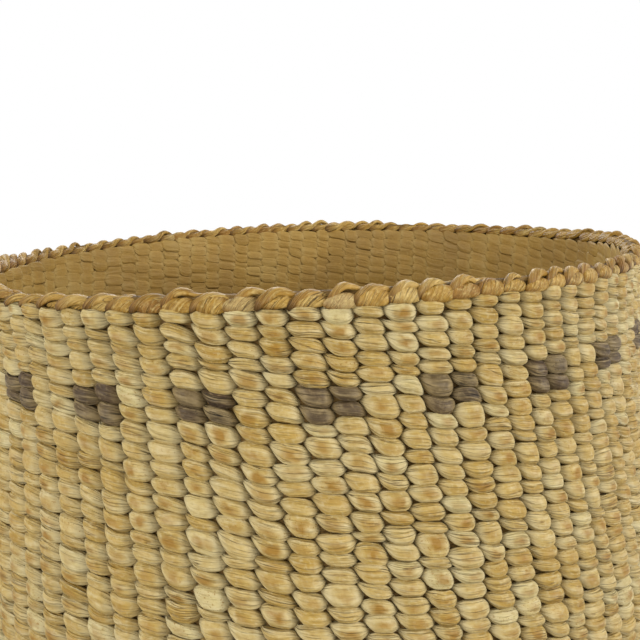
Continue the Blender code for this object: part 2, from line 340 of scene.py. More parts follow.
# %% [markdown]
# ## The fibre
#
# The strands are dried flat leaf, split and rolled damp, which sets as a smooth bundle with fine
# grooves along it. It is pale where it is stretched and stained amber in the middle of the stitch
# where it was handled. A pattern that fills all space would run straight through neighbouring
# stitches, so the finish reads a map called lay that is laid on each stitch. Its first number runs
# along the fibres and its second across them, and each stitch has its own whole numbers, so no two
# are alike.


# %% A place on the stitch, and its luck
def place_on_stitch(finish, lay):
    """How far a point is from the middle of its own stitch: along and across it, 0.5 at the edges, and
    then the same two without their signs."""
    signed = []
    for part in add(finish, "ShaderNodeSeparateXYZ", {0: lay}).outputs[:2]:
        share = add(finish, "ShaderNodeMath", {0: part, 1: 2.0}, operation="MODULO").outputs[0]
        signed.append(add(finish, "ShaderNodeMath", {0: share, 1: 0.5}, operation="SUBTRACT").outputs[0])
    unsigned = [add(finish, "ShaderNodeMath", {0: part}, operation="ABSOLUTE").outputs[0] for part in signed]
    return signed + unsigned


def luck_of_stitch(finish, lay):
    """Four chance numbers that are the same all over one stitch. Each stitch starts at even numbers of
    the map, so half of them, rounded down, is the stitch's own place in the weave."""
    halves = add(finish, "ShaderNodeVectorMath", {0: lay, 1: (0.5, 0.5, 0.5)}, operation="MULTIPLY")
    whole = add(finish, "ShaderNodeVectorMath", {0: halves.outputs[0]}, operation="FLOOR")
    luck = add(finish, "ShaderNodeTexWhiteNoise", {"Vector": whole.outputs[0]}, noise_dimensions="2D")
    lucks = add(finish, "ShaderNodeSeparateColor", {0: luck.outputs["Color"]}).outputs
    return luck.outputs["Value"], lucks[0], lucks[1], lucks[2]


# %% Patterns along the fibres
# A stitch is about 7.2 mm from tip to tip and 7.5 mm round. Each pattern has the length and width of
# its marks in mm, how rough its edges are, and an offset that keeps it apart from the others.
STITCH_LENGTH = 7.2
STITCH_ROUND = 7.5
PATTERNS = {
    # Real fibres are about 0.2 mm wide, which is too fine to show, so they are drawn twice as wide.
    "fibres": (6.5, 0.44, 2.0, 7.3),
    "folds": (9.0, 1.1, 3.0, 0.0),
    "mottle": (0.8, 0.58, 3.0, 11.7),
    "wander": (3.0, 1.9, 2.0, 3.1),
    "specks": (0.45, 0.25, 1.0, 19.3),
    "creases": (24.0, 0.83, 1.0, 5.7),
}


def leaf_pattern(finish, lay, kind):
    """One pattern of the leaf, with a whole number of marks round the stitch."""
    length, width, detail, offset = PATTERNS[kind]
    marks = (round(STITCH_LENGTH / length, 1), round(STITCH_ROUND / width), 1.0)
    spread = add(finish, "ShaderNodeVectorMath", {0: lay, 1: marks, 2: (offset, offset, 0.0)},
                 operation="MULTIPLY_ADD").outputs[0]
    return add(finish, "ShaderNodeTexNoise", {"Vector": spread, "Scale": 1.0, "Detail": detail,
                                              "Roughness": 0.55}, noise_dimensions="2D").outputs["Fac"]


print("marks round a stitch:", {kind: round(STITCH_ROUND / size[1]) for kind, size in PATTERNS.items()})

# %% [markdown]
# ## Coats of colour
#
# One mixed colour could be worked out in a single long formula, but a leaf ages in layers. So the
# finish starts from the tone of the whole bundle, and each streak, stain and speck is a thin coat
# over the last, and so is the painted light and shade on folds, fibres, creases and edges. A coat
# shows where a pattern passes from one value to another.


# %% Tone and coats
def bundle_tone(finish, luck, tones):
    """The tone of the whole bundle, by the luck of its stitch."""
    ramp = add(finish, "ShaderNodeValToRGB", {0: luck})
    stops = ramp.color_ramp.elements
    while len(stops) < len(tones):
        stops.new(0.5)
    for stop, (share, tone) in zip(stops, tones.items()):
        stop.position = share
        stop.color = linear(tone)
    return ramp.outputs[0]


def coat(finish, under, over, *limits):
    """Lay a colour over another. Each limit is (pattern, start, full, least, most): as the pattern goes
    from start to full, the share of the upper colour goes from least to most. More limits multiply.
    Returns the new colour and the share."""
    share = None
    for pattern, start, full, least, most in limits:
        part = add(finish, "ShaderNodeMapRange", {"Value": pattern, "From Min": start, "From Max": full,
                                                  "To Min": least, "To Max": most}).outputs[0]
        if share is not None:
            part = add(finish, "ShaderNodeMath", {0: share, 1: part}, operation="MULTIPLY").outputs[0]
        share = part
    mixed = add(finish, "ShaderNodeMix", {0: share, 6: under, 7: over}, data_type="RGBA")
    return mixed.outputs[2], share


# %% Shapes of the stain, the creases and the painted shade
def stain_reach(finish, along, across, wander):
    """How far a point is from the middle of the stain, which is twice as long as wide, with an uneven
    edge."""
    narrow = add(finish, "ShaderNodeMath", {0: across, 1: 2.0}, operation="MULTIPLY").outputs[0]
    both = add(finish, "ShaderNodeCombineXYZ", {"X": along, "Y": narrow}).outputs[0]
    reach = add(finish, "ShaderNodeVectorMath", {0: both}, operation="LENGTH").outputs["Value"]
    uneven = add(finish, "ShaderNodeMapRange", {"Value": wander, "From Min": 0.3, "From Max": 0.7,
                                                "To Min": -0.10, "To Max": 0.10}).outputs[0]
    return add(finish, "ShaderNodeMath", {0: reach, 1: uneven}, operation="ADD").outputs[0]


def crease_lines(finish, creases):
    """Thin lines, 0 where the pattern passes its middle value."""
    level = add(finish, "ShaderNodeMath", {0: creases, 1: 0.5}, operation="SUBTRACT").outputs[0]
    return add(finish, "ShaderNodeMath", {0: level}, operation="ABSOLUTE").outputs[0]


def painted_gap_shade(finish, from_centre, from_middle, shade_at_gaps):
    """Painted shade where a stitch touches the next ones: at its ends and along its edges."""
    ends = add(finish, "ShaderNodeMapRange", {"Value": from_centre, "From Min": 0.35, "From Max": 0.47,
                                              "To Max": shade_at_gaps[0]}).outputs[0]
    edges = add(finish, "ShaderNodeMapRange", {"Value": from_middle, "From Min": 0.19, "From Max": 0.27,
                                               "To Max": shade_at_gaps[1]}).outputs[0]
    return add(finish, "ShaderNodeMath", {0: ends, 1: edges}, operation="MAXIMUM").outputs[0]


# %% Relief
FIBRE_DEPTH = 0.25
FOLD_DEPTH = 0.90
CREASE_DEPTH = 0.25


def relief_of_leaf(finish, fibres, folds, crease, relief):
    """Single fibres, broad folds and sunk creases, each on top of the last."""
    fine = add(finish, "ShaderNodeBump", {"Height": fibres, "Strength": 0.8 * relief,
                                          "Distance": FIBRE_DEPTH * MM}).outputs[0]
    broad = add(finish, "ShaderNodeBump", {"Height": folds, "Normal": fine, "Strength": relief,
                                           "Distance": FOLD_DEPTH * MM}).outputs[0]
    sunk = add(finish, "ShaderNodeBump", {"Height": crease, "Normal": broad, "Strength": 0.9 * relief,
                                          "Distance": CREASE_DEPTH * MM}, invert=True)
    return sunk.outputs[0]


print("depth of fibres, folds and creases, mm:", FIBRE_DEPTH, FOLD_DEPTH, CREASE_DEPTH)


# %% The whole finish
# Clouds from handling are about 20 mm across.
CLOUD_SIZE = 20.0


def fibre(name, tones, pale, stain, dark, streaks_and_shading, stain_and_lobe_shade, creased, roughness, shade_at_gaps=(0.65, 0.48),
          wrapped=False, relief=1.0, handled=0.0):
    """A dried-leaf finish. tones are {share: hex colour} from the darkest bundle to the palest. streak
    is how strongly folds and fibres show, as streaks of the leaf's own tone and as painted highlight
    and painted shade on their raised parts and in their hollows. stained, creased and handled are how
    strongly stains, creases and clouds from handling show. Creases are darkened by painted shade, and
    on a wrapped strand the stain is painted shade towards the ends of each lobe. soil is the painted
    shade at a stitch's ends and along its edges, and relief how deep its grooves are. A wrapped strand
    has no pale ends."""
    finish, shader = new_finish(name)
    lay = add(finish, "ShaderNodeUVMap", uv_map="lay").outputs[0]
    along, across, from_centre, from_middle = place_on_stitch(finish, lay)
    luck, end_luck, stain_luck, crease_luck = luck_of_stitch(finish, lay)
    fibres, folds, mottle = (leaf_pattern(finish, lay, kind) for kind in ("fibres", "folds", "mottle"))
    coats = [
        # Folds and fibres are streaks of the leaf's own tone, and also painted highlight on their raised
        # parts and painted shade in their hollows.
        (pale, (folds, 0.50, 0.72, 0.0, 0.80 * streaks_and_shading)),
        (dark, (folds, 0.48, 0.25, 0.0, 0.45 * streaks_and_shading)),
        (pale, (fibres, 0.55, 0.80, 0.0, 0.90 * streaks_and_shading)),
        (dark, (fibres, 0.45, 0.22, 0.0, 0.40 * streaks_and_shading)),
        (pale, (mottle, 0.54, 0.75, 0.0, 0.45)),
        (stain, (mottle, 0.46, 0.25, 0.0, 0.30)),
    ]
    if wrapped:
        # On a wrapped strand the stain's brown is painted shade, darker towards the ends of each lobe where
        # it dips between the others.
        coats.append((stain, (from_centre, 0.16, 0.40, 0.0, stain_and_lobe_shade)))
    else:
        # The ends are stretched pale over the edge of the warp, and the middle is stained amber.
        reach = stain_reach(finish, along, across, leaf_pattern(finish, lay, "wander"))
        coats.append((pale, (from_centre, 0.16, 0.32, 0.0, 1.0), (end_luck, 0.0, 1.0, 0.2, 0.8)))
        coats.append((stain, (reach, 0.23, 0.03, 0.0, 1.0), (stain_luck, 0.15, 0.85, 0.12, stain_and_lobe_shade)))
    if handled:
        # Broad clouds lie over many stitches at once, so they are drawn on the whole bowl.
        bowl_place = add(finish, "ShaderNodeTexCoord").outputs["Object"]
        clouds = add(finish, "ShaderNodeTexNoise", {"Vector": bowl_place, "Scale": 1 / (CLOUD_SIZE * MM),
                                                    "Detail": 2.0, "Roughness": 0.5}).outputs["Fac"]
        coats.append((stain, (clouds, 0.45, 0.65, 0.0, handled)))
        coats.append((pale, (clouds, 0.45, 0.30, 0.0, handled)))
    # A few bundles have brown specks of bark.
    specks = leaf_pattern(finish, lay, "specks")
    coats.append((stain, (specks, 0.66, 0.72, 0.0, 0.7), (crease_luck, 0.22, 0.08, 0.0, 1.0)))
    colour = bundle_tone(finish, luck, tones)
    for over, *limits in coats:
        colour, _ = coat(finish, colour, over, *limits)
    # Creases are sunk by the bump and darkened with painted shade in the dark colour.
    lines = crease_lines(finish, leaf_pattern(finish, lay, "creases"))
    colour, crease = coat(finish, colour, dark, (lines, 0.022, 0.003, 0.0, 1.0),
                          (crease_luck, 0.15, 0.90, 0.05, creased))
    # Painted shade darkens each stitch at its ends and along its edges, where it meets the next ones.
    gap_shade_share = painted_gap_shade(finish, from_centre, from_middle, shade_at_gaps)
    colour, _ = coat(finish, colour, dark, (gap_shade_share, 0.0, 1.0, 0.0, 1.0))
    gloss = add(finish, "ShaderNodeMapRange", {"Value": folds, "From Min": 0.3, "From Max": 0.7,
                                               "To Min": roughness + 0.08, "To Max": roughness - 0.06})
    for socket, part in (("Base Color", colour), ("Roughness", gloss.outputs[0]),
                         ("Normal", relief_of_leaf(finish, fibres, folds, crease, relief))):
        finish.node_tree.links.new(part, shader.inputs[socket])
    # Plant fibre has an IOR near 1.5, which is the shader's own. The leaf's fuzz scatters much of its
    # gloss, so the specular level is about half the usual one.
    shader.inputs["Specular IOR Level"].default_value = 0.28
    print(name, "nodes:", len(finish.node_tree.nodes))
    return finish


# %% [markdown]
# ## The five leaves
#
# All five are dried leaf with the same fine grooves, and differ in age, dye and wear, and in how
# much painted light and shade they carry. Their tones start from what dried leaf has and are matched
# to the photograph. A smooth dried leaf has a roughness of about 0.5, and a worn or barky one is
# rougher.

# %% Leaf of the outer wall
# Split leaf, dried pale: warm straw, silky, with amber middles and paler ends.
straw = fibre("straw_leaf",
              {0.0: "#A08138", 0.12: "#AB8D47", 0.5: "#AF9555", 0.85: "#B49C61", 1.0: "#BCAD79"},
              pale="#C4B68C", stain="#8A631A", dark="#5C3E14", streaks_and_shading=0.60, stain_and_lobe_shade=0.90, creased=0.50,
              roughness=0.50, shade_at_gaps=(0.52, 0.36))
# The same leaf, dyed dark: a dull, uneven brown, with painted shade nearly black in its creases and edges.
dyed = fibre("dyed_leaf", {0.0: "#47341F", 0.5: "#5B4930", 1.0: "#6D5B3A"},
             pale="#96825A", stain="#2E2012", dark="#0E0904", streaks_and_shading=0.80, stain_and_lobe_shade=0.40, creased=0.85,
             roughness=0.55, shade_at_gaps=(0.85, 0.75))

# %% Leaf of the rim, the inside and the warps
# Leaf of the binding, polished by hands: deep honey brown, with the most gloss of the five.
# Painted shade darkens each lobe towards its ends, where it dips between the others.
rim_leaf = fibre("rim_leaf",
                 {0.0: "#886020", 0.35: "#9A752A", 0.7: "#A8833A", 0.92: "#AA8B48", 1.0: "#A58B59"},
                 pale="#D6BD7C", stain="#704910", dark="#372205", streaks_and_shading=0.36, stain_and_lobe_shade=0.80, creased=0.60,
                 roughness=0.48, shade_at_gaps=(0.85, 0.0), wrapped=True)
# Leaf of the inside, worn by use: flat, matt brown, with shallow grooves and broad cloudy marks.
inner_leaf = fibre("inner_leaf", {0.0: "#947433", 0.5: "#9A7938", 1.0: "#9F7E3E"},
                   pale="#A68C52", stain="#82673A", dark="#8B6A2C", streaks_and_shading=0.15, stain_and_lobe_shade=0.20, creased=0.30,
                   roughness=0.60, relief=0.45, handled=0.45)
# Whole stem of the warps: dull, barky brown in the gaps between the stitches.
stem = fibre("warp_leaf", {0.0: "#80602F", 1.0: "#90703A"},
             pale="#9C7C45", stain="#6B4F22", dark="#553E18", streaks_and_shading=0.30, stain_and_lobe_shade=0.40, creased=0.50,
             roughness=0.70)

# %% [markdown]
# ## One stitch, many times
#
# A stitch is wide and flat in the middle and pointed at its ends, where it passes between two warps.
# Its left end is high and its right end is low, because the two strands of the weft twist round each
# other between the warps. So the points of one column fit between the points of the next, like
# bricks with slanted ends. Copying one mesh would look machine-made. Here every stitch is worked out
# with numpy from its own width, height, slant and grooves, a whole band of rows at a time.

# %% Chance
# Columns shift and wander sideways as they go down, in shares of a warp, as by hand.
COLUMN_SHIFT = 0.045
COLUMN_DRIFT = 0.055
DRIFT_LENGTH = 34.0

chance = np.random.default_rng(92)
drift_phase = chance.uniform(0, 2 * math.pi, WARPS + 1)
column_shift = chance.normal(0.0, COLUMN_SHIFT, WARPS + 1)
drift_phase[-1] = drift_phase[0]
column_shift[-1] = column_shift[0]


def column_edge(column, per_column, path):
    """The edge of a column of stitches, counted in warps."""
    warp = column * per_column
    drift = COLUMN_DRIFT * np.sin(2 * math.pi * path / DRIFT_LENGTH + drift_phase[warp])
    return warp + per_column * (column_shift[warp] + drift)


# The edges of the rows stray up and down, in shares of a row. They stray least at the ends of a band,
# where the next band has to meet them.
COLUMN_STRAY = 0.10
TOP_STRAY, BOTTOM_STRAY, MOST_STRAY = 0.10, 0.25, 0.30


def row_edges(top, bottom, rows, columns, jitter=0.13):
    """Where the rows of each column meet: even on average, uneven from stitch to stitch."""
    height = (bottom - top) / rows
    edges = top + height * np.arange(rows + 1)[:, None]
    column_offset = chance.normal(0.0, COLUMN_STRAY, columns)
    loose = chance.normal(0.0, jitter, (rows + 1, columns)) + column_offset
    loose[0] = np.clip(loose[0], -TOP_STRAY, TOP_STRAY)
    loose[-1] = np.clip(loose[-1], -BOTTOM_STRAY, BOTTOM_STRAY)
    return edges + height * np.clip(loose, -MOST_STRAY, MOST_STRAY)


print("column shift, mean size in warps:", round(float(np.abs(column_shift).mean()), 3))


# %% Mesh from arrays
def mesh_object(name, places, corners, corner_count, lay, atlas, finish):
    """An object from arrays: vertex places, the vertex of each face corner, the corners in each face,
    and two maps. lay is for the fibre finish, and the other gives every stitch a patch of its own."""
    mesh = bpy.data.meshes.new(name)
    mesh.vertices.add(len(places))
    mesh.vertices.foreach_set("co", places.astype(np.float32).ravel())
    mesh.loops.add(len(corners))
    mesh.loops.foreach_set("vertex_index", corners.astype(np.int32))
    starts = np.concatenate([[0], np.cumsum(corner_count)[:-1]])
    mesh.polygons.add(len(corner_count))
    mesh.polygons.foreach_set("loop_start", starts.astype(np.int32))
    mesh.update(calc_edges=True)
    mesh.validate()
    mesh.shade_smooth()
    for map_name, values in (("lay", lay), ("OFBake", atlas)):
        layer = mesh.uv_layers.new(name=map_name)
        layer.uv.foreach_set("vector", values.astype(np.float32).ravel())
    mesh.materials.append(finish)
    made = bpy.data.objects.new(name, mesh)
    bpy.context.scene.collection.objects.link(made)
    print(name, "triangles:", len(corners) - 2 * len(corner_count))
    return made


# %% Faces and patches of bundles
PATCH_START = (0.06, 0.05)
PATCH_SIZE = (0.88, 0.90)


def bundle_faces(bundles, along, around, outward):
    """Faces of a row of closed bundles, each a grid of along rings with around vertices in a ring.
    Returns corner vertices, corners per face, and each corner's ring and side number."""
    ring, side = np.meshgrid(np.arange(along - 1), np.arange(around), indexing="ij")
    rings = np.stack([ring, ring, ring + 1, ring + 1], axis=-1).reshape(-1, 4)
    sides = np.stack([side, side + 1, side + 1, side], axis=-1).reshape(-1, 4)
    first_cap = np.arange(around)
    if outward:
        first_cap = first_cap[::-1]
    else:
        rings, sides = rings[:, ::-1], sides[:, ::-1]
    all_rings = np.concatenate([rings.ravel(), np.zeros(around, int), np.full(around, along - 1)])
    all_sides = np.concatenate([sides.ravel(), first_cap, first_cap[::-1]])
    count = np.concatenate([np.full(len(rings), 4), [around, around]])
    vertex = all_rings * around + all_sides % around
    corners = (np.arange(bundles)[:, None] * along * around + vertex).ravel()
    return corners, np.tile(count, bundles), all_rings, all_sides


def patches(count, along_share, around_share):
    """A patch of the second map for each of count bundles, side by side in one square, with a narrow
    margin round each."""
    wide = math.ceil(math.sqrt(count / 2))
    tall = math.ceil(count / wide)
    order = np.arange(count)[:, None]
    return np.stack([(order % wide + PATCH_START[0] + PATCH_SIZE[0] * along_share) / wide,
                     (order // wide + PATCH_START[1] + PATCH_SIZE[1] * around_share) / tall],
                    axis=-1).reshape(-1, 2)


print("corners of a closed bundle with 3 rings of 4:", len(bundle_faces(1, 3, 4, True)[0]))

# %% [markdown]
# ## The form of one stitch
#
# Three things give a stitch its form. Its section is a little squarer than an ellipse, and flatter
# on the hidden side. Its height is full between two shoulders and then runs to a point. Its ends go
# down into the wall. Each could be drawn as a curve by hand, but short formulas can be bent a little
# for every stitch.

# %% How finely a stitch is made
# The stations from its middle to a tip, and its sides round. The stitches that the photograph shows
# are the finest.
FINE = ((0.10, 0.32, 0.50, 0.64, 0.80, 1.0), 17)
PLAIN = ((0.12, 0.38, 0.62, 1.0), 12)
HIDDEN = ((0.15, 0.45, 0.70, 1.0), 10)

SHOWN_ARC = math.radians(105)
BACK_SIDES = 3


def superellipse(angles, power, back=1.0):
    """Across and out, from -1 to 1, round a section that is squarer than an ellipse where the power is
    over 2. back is how far it bulges on the hidden side."""
    across = np.sign(np.sin(angles)) * np.abs(np.sin(angles)) ** (2 / power)
    out = np.sign(np.cos(angles)) * np.abs(np.cos(angles)) ** (2 / power)
    return across, np.where(out < 0, back * out, out)


def section_angles(sides):
    """Most of the sides are spent on the arc of the section that shows."""
    shown = np.linspace(-SHOWN_ARC, SHOWN_ARC, sides - BACK_SIDES)
    hidden = np.linspace(SHOWN_ARC, 2 * math.pi - SHOWN_ARC, BACK_SIDES + 2)[1:-1]
    return np.concatenate([shown, hidden])


print("degrees between sides that show:", round(math.degrees(np.diff(section_angles(FINE[1]))[0]), 1))

# %% Height and depth along a stitch
# Shoulders and tips are in columns from the middle, heights in rows, depths in mm. A blunt end
# narrows later and goes in deeper than a pointed one.
SHOULDER = 0.28
TIP = 0.70
FULL_HALF = 0.53
NARROWING = 0.47
BLUNT_LATER = 0.40
DIVE_POWER = 2.7
TIP_DIVE = 1.02
BLUNT_DEEPER = 0.25
DEEPEST_CREST = 2.8
BLUNT_TURN = math.radians(15)


def blunt_end(warp):
    """Which end of a stitch is blunt: the right end where this is -1, and the left end where it is 1.
    It changes slowly round the bowl."""
    return np.sin(turn_at(warp) - BLUNT_TURN)


def half_height(x, fullness, blunt):
    """Half the height of a stitch. The greater its fullness, the later it narrows."""
    taper = np.clip((np.abs(x) - SHOULDER) / (TIP - SHOULDER), 0, 1)
    return FULL_HALF - NARROWING * taper ** (fullness - BLUNT_LATER * blunt * np.sign(x))


def lay_in(x, dive, blunt):
    """How far the crest of a stitch has gone into the wall. It stays clear of the other face."""
    depth = dive * (np.abs(x) / TIP) ** DIVE_POWER * (TIP_DIVE - BLUNT_DEEPER * blunt * np.sign(x))
    return np.minimum(depth, DEEPEST_CREST)


print("half height at the tip, in rows:", round(FULL_HALF - NARROWING, 2))

# %% Slant along a stitch
LEVEL_SHARE = 0.28
PULLED_SHARE = 0.21
PULLED_TURN = math.radians(-16)
PULLED_WIDTH = math.radians(17)


def level_share(warp):
    """How evenly a stitch slopes from end to end. The rest of its drop is at its ends. Stitches slope
    most left of the middle of the near side, where the weaver's hand pulled them down."""
    return LEVEL_SHARE + PULLED_SHARE * np.exp(-((turn_at(warp) - PULLED_TURN) / PULLED_WIDTH) ** 2)


print("even share of the slope, least and most:", LEVEL_SHARE, LEVEL_SHARE + PULLED_SHARE)


# %% Slots for the stitches
def stitch_slots(edges, chosen, face):
    """For each stitch of a band: its row and column, its upper and lower edge, and the edges that its
    right and its left tip reach between the rows of the columns beside it. Seen from outside, the right
    tip is the low one on the outer face, and the left tip on the inner face."""
    rows, columns = edges.shape[0] - 1, edges.shape[1]
    row, column = np.meshgrid(np.arange(rows), np.arange(columns), indexing="ij")
    if chosen is not None:
        row, column = row[chosen], column[chosen]
    row, column = row.ravel(), column.ravel()
    leans = 1 if face == "outer" else 0
    right_end = edges[row + leans, (column + 1) % columns]
    left_end = edges[row + 1 - leans, (column - 1) % columns]
    return row, column, edges[row, column], edges[row + 1, column], right_end, left_end


# %% Places of a band's stitches
SQUARENESS = 2.35
BACK_BULGE = 0.35
HALF_THICK = 1.15
THINNER_TIP = 0.40
PROUDEST = 0.15
# How much stitches differ in slope, width and thickness, as shares, and how far they sit in, in mm.
SLOPE_SPREAD, WIDTH_SPREAD, THICKNESS_SPREAD = 0.12, 0.03, 0.08
SUNK_SPREAD, LEAST_SUNK, MOST_SUNK = 0.10, -0.18, 0.25
BOW = 0.05


def stitch_places(slots, u, v, per_column, swell, dive, slope, width, press, fullness):
    """Warp, path and depth of every vertex. u runs along a stitch from -1 to 1, and v round it. Each
    stitch has its own folds, bow, slope, width, thickness and depth."""
    _, column, top, bottom, right_end, left_end = slots
    grid_u, grid_x, grid_v = u[None, :, None], TIP * u[None, :, None], v[None, None, :]
    across, out = superellipse(v, SQUARENESS, BACK_BULGE)

    def each(spread, low=-3.0, high=3.0):
        return np.clip(chance.normal(0, spread, len(column)), low, high)[:, None, None]

    phase = chance.uniform(0, 2 * math.pi, (3, len(column)))[:, :, None, None]
    folds = 0.030 * np.cos(4 * grid_v + phase[0] + 0.5 * grid_u) + 0.024 * np.cos(6 * grid_v + phase[1])
    folds = folds + 0.035 * np.cos(2.2 * grid_u + phase[2])
    size = 1 + folds * (1 - 0.7 * np.abs(grid_u))
    bow = BOW * np.sin(phase[2]) * (1 - grid_u**2)

    middle, high = (top + bottom) / 2, (bottom - top)[:, None, None]
    drop = np.where(grid_u > 0, (right_end - middle)[:, None, None], (middle - left_end)[:, None, None])
    even = level_share(column * per_column)[:, None, None] + each(SLOPE_SPREAD)
    blunt = blunt_end(column * per_column)[:, None, None]
    lean = slope * drop * (even * grid_u + (1 - even) * grid_u**3)
    tall = press * size * half_height(grid_x, fullness, blunt) * across
    path = middle[:, None, None] + lean + high * (bow + tall)

    left = column_edge(column, per_column, middle)
    right = column_edge(column + 1, per_column, middle)
    pitch = (right - left)[:, None, None]
    warp = (left + right)[:, None, None] / 2 + pitch * width * (grid_x * (1 + each(WIDTH_SPREAD)))

    body = (HALF_THICK - THINNER_TIP * np.abs(grid_u) ** 2) * (1 + each(THICKNESS_SPREAD))
    sunk = each(SUNK_SPREAD, LEAST_SUNK, MOST_SUNK)
    depth = sunk + lay_in(grid_x, dive, blunt) + swell * body * (1 - size * out)
    return warp, path, np.maximum(depth, -PROUDEST)


# %% A band of rows
# Rows are numbered through all the bands, so that no two stitches share a place on the lay map.
woven = {"rows": 0}


def stitches(name, edges, finish, fineness, per_column=1, face="outer", chosen=None, swell=1.0, dive=3.1,
             slope=1.0, width=1.0, press=1.0, fullness=1.07):
    """Twined stitches between the row edges of a band, one for each row and column or for those that
    are chosen. swell, slope, width and press are shares of the usual thickness, slant, width and
    height, and dive is how deep the ends go, in mm."""
    stops, around = fineness
    u = np.array([-stop for stop in reversed(stops)] + list(stops))
    v = section_angles(around)
    slots = stitch_slots(edges, chosen, face)
    row, column = slots[:2]
    warp, path, depth = stitch_places(slots, u, v, per_column, swell, dive, slope, width, press, fullness)
    if face == "inner":
        depth = WALL_THICKNESS - depth
    places = on_bowl(warp, path, depth)
    places[..., 2] = np.maximum(places[..., 2], 0.0)

    corners, corner_count, rings, sides = bundle_faces(len(row), len(u), around, face == "outer")
    along_share = (u[rings] + 1) / 2
    turned = np.concatenate([v, [v[0] + 2 * math.pi]])[sides]
    over_share = 0.5 + turned / (2 * math.pi)
    number = woven["rows"] + row[:, None]
    woven["rows"] += len(edges) - 1
    lay = np.stack([along_share[None, :] + 2 * column[:, None], over_share[None, :] + 2 * number], axis=-1)
    print(name, "stitches:", len(row))
    return mesh_object(name, places.reshape(-1, 3), corners, corner_count, lay.reshape(-1, 2),
                       patches(len(row), along_share, sides / around), finish)


def belongs(piece, slot, *nodes):
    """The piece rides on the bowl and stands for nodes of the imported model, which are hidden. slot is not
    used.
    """
    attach(piece, "root")
    if nodes:
        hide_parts(*nodes)


# %% [markdown]
# ## How the binding sits
#
# The rim is bound last, but the top row has to reach up to it, so its unevenness comes first. It
# could be a plain ring, as on a machine-made bowl. In the photograph it rides higher at the left and
# at the right, its lobes swell and shrink, and one stretch at the left is pulled tight.

# %% Lift, size and tight stretch of the binding
RIM_LIFT = 0.35
LEFT_LIFT = 0.75
END_LIFT = 1.3
END_TURN = math.radians(85)
END_WIDTH = math.radians(20)
LOBE_SIZE = 0.86
LOBE_SWELL = 0.05
LOBE_SWELL_TURN = math.radians(5)
TIGHT_TURN = math.radians(-52)
TIGHT_WIDTH = math.radians(25)


def rim_lift(warp):
    """How far the binding sits above the line of the top row, in mm. near is 1 at the front of the bowl
    and 0 at the back."""
    turn = turn_at(warp)
    near = 0.5 + 0.5 * np.cos(turn)
    end = np.exp(-((turn - END_TURN) / END_WIDTH) ** 2)
    return RIM_LIFT - LEFT_LIFT * near * np.sin(turn) + END_LIFT * end


def rim_snug(warp):
    """The size of the lobes of the binding, which varies four times round the rim."""
    return LOBE_SIZE + LOBE_SWELL * np.cos(4 * (turn_at(warp) - LOBE_SWELL_TURN))


def rim_tight(warp):
    """1 in the stretch that is pulled tight, where the outer strand sinks in and the arcs of the inner
    strand stand alone, and 0 elsewhere."""
    return np.exp(-((turn_at(warp) - TIGHT_TURN) / TIGHT_WIDTH) ** 4)


print("lift of the binding, mm:", [round(float(rim_lift(warp)), 2) for warp in (0, 13, 26)])

# %% [markdown]
# ## The upper wall and the pattern band
#
# Five plain rows hang under the rim. Below them comes the pattern: two rows in which every first and
# second column of four is worked with dyed leaf, and the two columns between stay plain. The dashes
# could be painted on, but the dyed leaf is laid over the same weft. So they have the same stitch,
# only a little thicker and in another colour.

# %% Upper rows
TOP_OVERLAP = 0.35
PATTERN_PATH = UPPER_ROWS * UPPER_ROW_HEIGHT
WALL_PATH = PATTERN_PATH + PATTERN_ROWS * PATTERN_ROW_HEIGHT

upper_edges = row_edges(0.0, PATTERN_PATH, UPPER_ROWS, WARPS)
pattern_edges = row_edges(PATTERN_PATH, WALL_PATH, PATTERN_ROWS, WARPS)
pattern_edges[0] = upper_edges[-1]
upper_edges -= rim_lift(np.arange(WARPS) + 0.5) * (1 - np.arange(UPPER_ROWS + 1) / UPPER_ROWS)[:, None]
upper_edges[0] -= TOP_OVERLAP
belongs(stitches("top_row_stitches", upper_edges[:2], straw, FINE, slope=0.5, width=0.93),
        "straw_weft", "upper_outer_weft")
belongs(stitches("upper_stitches", upper_edges[1:], straw, FINE), "straw_weft", "upper_outer_weft")

# %% Pattern band
DASH_COLUMNS = 2

in_dash = np.tile(np.arange(WARPS) % WARPS_PER_REPEAT < DASH_COLUMNS, (PATTERN_ROWS, 1))
belongs(stitches("pattern_plain_stitches", pattern_edges, straw, FINE, chosen=~in_dash),
        "straw_weft", "pattern_ground_weft")
dashes = [f"dash_{number:02d}" for number in range(1, WARPS // WARPS_PER_REPEAT + 1)]
belongs(stitches("pattern_dash_stitches", pattern_edges, dyed, FINE, chosen=in_dash, swell=1.05),
        "dark_weft", *dashes)

# %% [markdown]
# ## The wall below the pattern
#
# The same stitch goes on down the wall. Rows get slightly taller here, about 2.8 mm, because the
# weaver had more room as the bowl widened. One piece for the whole wall would be too many faces for
# the export, so it is in three. The rows that the photograph shows are finely made, and the ones
# further down have fewer sides.

# %% Wall
WALL_ROWS = 18

wall_edges = row_edges(WALL_PATH, BELLY_PATH, WALL_ROWS, WARPS)
wall_edges[0] = pattern_edges[-1]
belongs(stitches("wall_stitches_high", wall_edges[:6], straw, FINE), "straw_weft", "wall_outer_weft")
belongs(stitches("wall_stitches_middle", wall_edges[5:11], straw, FINE), "straw_weft", "wall_outer_weft")
belongs(stitches("wall_stitches_low", wall_edges[10:], straw, PLAIN), "straw_weft", "wall_outer_weft")

# %% Belly and heel
BELLY_ROWS = 7
HEEL_ROWS = 7

